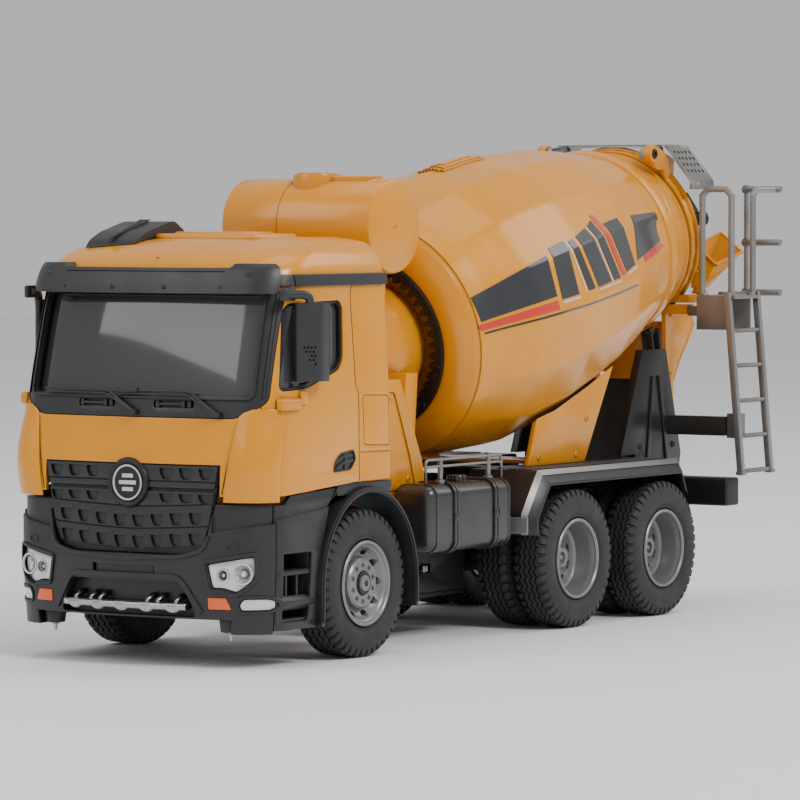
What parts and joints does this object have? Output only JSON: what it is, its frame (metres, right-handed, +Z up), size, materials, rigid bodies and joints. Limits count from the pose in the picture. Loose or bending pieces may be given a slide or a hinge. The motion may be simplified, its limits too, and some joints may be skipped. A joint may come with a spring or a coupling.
{
  "type": "toy concrete mixer truck",
  "caption": "Toy concrete mixer truck with steerable front wheels, twin-axle bogie, geared tilting drum, rear ladder, hopper hood and swing chute.",
  "frame": {"origin": "centre of the bounding box at the ground, where the tyres stand", "axes": "+X is the truck's left side, -Y its front, +Z up"},
  "size_m": [0.19, 0.5764, 0.2814],
  "materials": {
    "yellow_plastic": "semi-gloss moulded plastic",
    "dark_plastic": "fine-textured dark grey plastic",
    "black_plastic": "matt black plastic",
    "silver_plastic": "silver-grey painted plastic",
    "lamp_reflector": "bright lamp insert",
    "tyre_rubber": "matt dark grey rubber",
    "smoked_glazing": "smoked, nearly opaque window insert",
    "bright_steel": "plated steel",
    "battery_wrap": "heat-shrink wrap"
  },
  "bodies": {
    "truck": {"battery_box": "black_plastic", "battery_door": "black_plastic", "battery_pack": "battery_wrap", "bogie_housing": "black_plastic", "cab_glazing": "smoked_glazing", "cab_shell": "yellow_plastic", "chassis_frame": "black_plastic", "discharge_trough": "yellow_plastic", "drum_brace": "yellow_plastic", "drum_motor": "bright_steel", "fender_left": "dark_plastic", "fender_right": "dark_plastic", "front_axle_beam": "black_plastic", "front_bumper": "dark_plastic", "front_pedestal": "yellow_plastic", "fuel_tank": "silver_plastic", "grille": "dark_plastic", "headlight_left": "lamp_reflector", "headlight_right": "lamp_reflector", "hopper_frame": "yellow_plastic", "ladder": "silver_plastic", "mirror_left": "dark_plastic", "mirror_right": "dark_plastic", "platform": "silver_plastic", "rear_deck": "dark_plastic", "rear_pedestal": "dark_plastic", "roof_intake": "dark_plastic", "skid_plate": "silver_plastic", "steering_servo": "black_plastic", "sun_visor": "dark_plastic", "tool_box": "dark_plastic", "underrun_bar": "black_plastic", "water_tank": "yellow_plastic", "windshield_frame": "dark_plastic", "work_lamp": "black_plastic"},
    "knuckle_left": {"knuckle_left": "black_plastic"},
    "knuckle_right": {"knuckle_right": "black_plastic"},
    "tie_rod": {"tie_rod": "bright_steel"},
    "front_wheel_left": {"front_rim_left": "silver_plastic", "front_tyre_left": "tyre_rubber"},
    "front_wheel_right": {"front_rim_right": "silver_plastic", "front_tyre_right": "tyre_rubber"},
    "middle_wheels": {"middle_axle": "bright_steel", "middle_rim_left": "silver_plastic", "middle_rim_right": "silver_plastic", "middle_tyre_left": "tyre_rubber", "middle_tyre_right": "tyre_rubber"},
    "rear_wheels": {"rear_axle": "bright_steel", "rear_rim_left": "silver_plastic", "rear_rim_right": "silver_plastic", "rear_tyre_left": "tyre_rubber", "rear_tyre_right": "tyre_rubber"},
    "drum": {"drum_shell": "yellow_plastic", "ring_gear": "black_plastic"},
    "pinion": {"drum_pinion": "dark_plastic"},
    "roller_left": {"roller_left": "black_plastic"},
    "roller_right": {"roller_right": "black_plastic"},
    "hood": {"hopper_hood": "silver_plastic"},
    "chute": {"chute": "yellow_plastic"},
    "switch": {"power_switch": "bright_steel"}
  },
  "joints": [
    {"name": "steer_left", "type": "hinge", "parent": "truck", "child": "knuckle_left", "pos_m": [0.066, -0.178, 0.04], "axis": [0, 0, 1], "range_deg": [-20, 20]},
    {"name": "steer_right", "type": "hinge", "parent": "truck", "child": "knuckle_right", "pos_m": [-0.066, -0.178, 0.04], "axis": [0, 0, 1], "range_deg": [-20, 20]},
    {"name": "tie_rod_swing", "type": "hinge", "parent": "knuckle_left", "child": "tie_rod", "pos_m": [0.066, -0.164, 0.0384], "axis": [0, 0, 1], "range_deg": [-20, 20]},
    {"name": "wheel_spin_left", "type": "hinge", "parent": "knuckle_left", "child": "front_wheel_left", "pos_m": [0.074, -0.178, 0.04], "axis": [1, 0, 0], "continuous": true},
    {"name": "wheel_spin_right", "type": "hinge", "parent": "knuckle_right", "child": "front_wheel_right", "pos_m": [-0.074, -0.178, 0.04], "axis": [1, 0, 0], "continuous": true},
    {"name": "middle_axle_spin", "type": "hinge", "parent": "truck", "child": "middle_wheels", "pos_m": [0, 0.041, 0.04], "axis": [1, 0, 0], "continuous": true},
    {"name": "rear_axle_spin", "type": "hinge", "parent": "truck", "child": "rear_wheels", "pos_m": [0, 0.1405, 0.04], "axis": [1, 0, 0], "continuous": true},
    {"name": "drum_spin", "type": "hinge", "parent": "truck", "child": "drum", "pos_m": [0, -0.028, 0.1703], "axis": [0, 0.9779, 0.2089], "continuous": true},
    {"name": "pinion_spin", "type": "hinge", "parent": "truck", "child": "pinion", "pos_m": [-0.035, -0.04854, 0.16591], "axis": [0, 0.9779, 0.2089], "continuous": true},
    {"name": "roller_spin_left", "type": "hinge", "parent": "truck", "child": "roller_left", "pos_m": [0.03568, 0.20856, 0.16675], "axis": [0, 0.9779, 0.2089], "continuous": true},
    {"name": "roller_spin_right", "type": "hinge", "parent": "truck", "child": "roller_right", "pos_m": [-0.03568, 0.20856, 0.16675], "axis": [0, 0.9779, 0.2089], "continuous": true},
    {"name": "hood_lift", "type": "hinge", "parent": "truck", "child": "hood", "pos_m": [0, 0.205, 0.2755], "axis": [1, 0, 0], "range_deg": [0, 70]},
    {"name": "chute_swing", "type": "hinge", "parent": "truck", "child": "chute", "pos_m": [0.042, 0.258, 0.19], "axis": [0, 0, 1], "range_deg": [-90, 15]},
    {"name": "switch_slide", "type": "slide", "parent": "truck", "child": "switch", "axis": [0, 1, 0], "range_m": [0, 0.006]}
  ],
  "couplings": [
    {"joint": "steer_right", "follows": "steer_left", "ratio": 1},
    {"joint": "tie_rod_swing", "follows": "steer_left", "ratio": -1},
    {"joint": "rear_axle_spin", "follows": "middle_axle_spin", "ratio": 1},
    {"joint": "pinion_spin", "follows": "drum_spin", "ratio": 4.5}
  ]
}
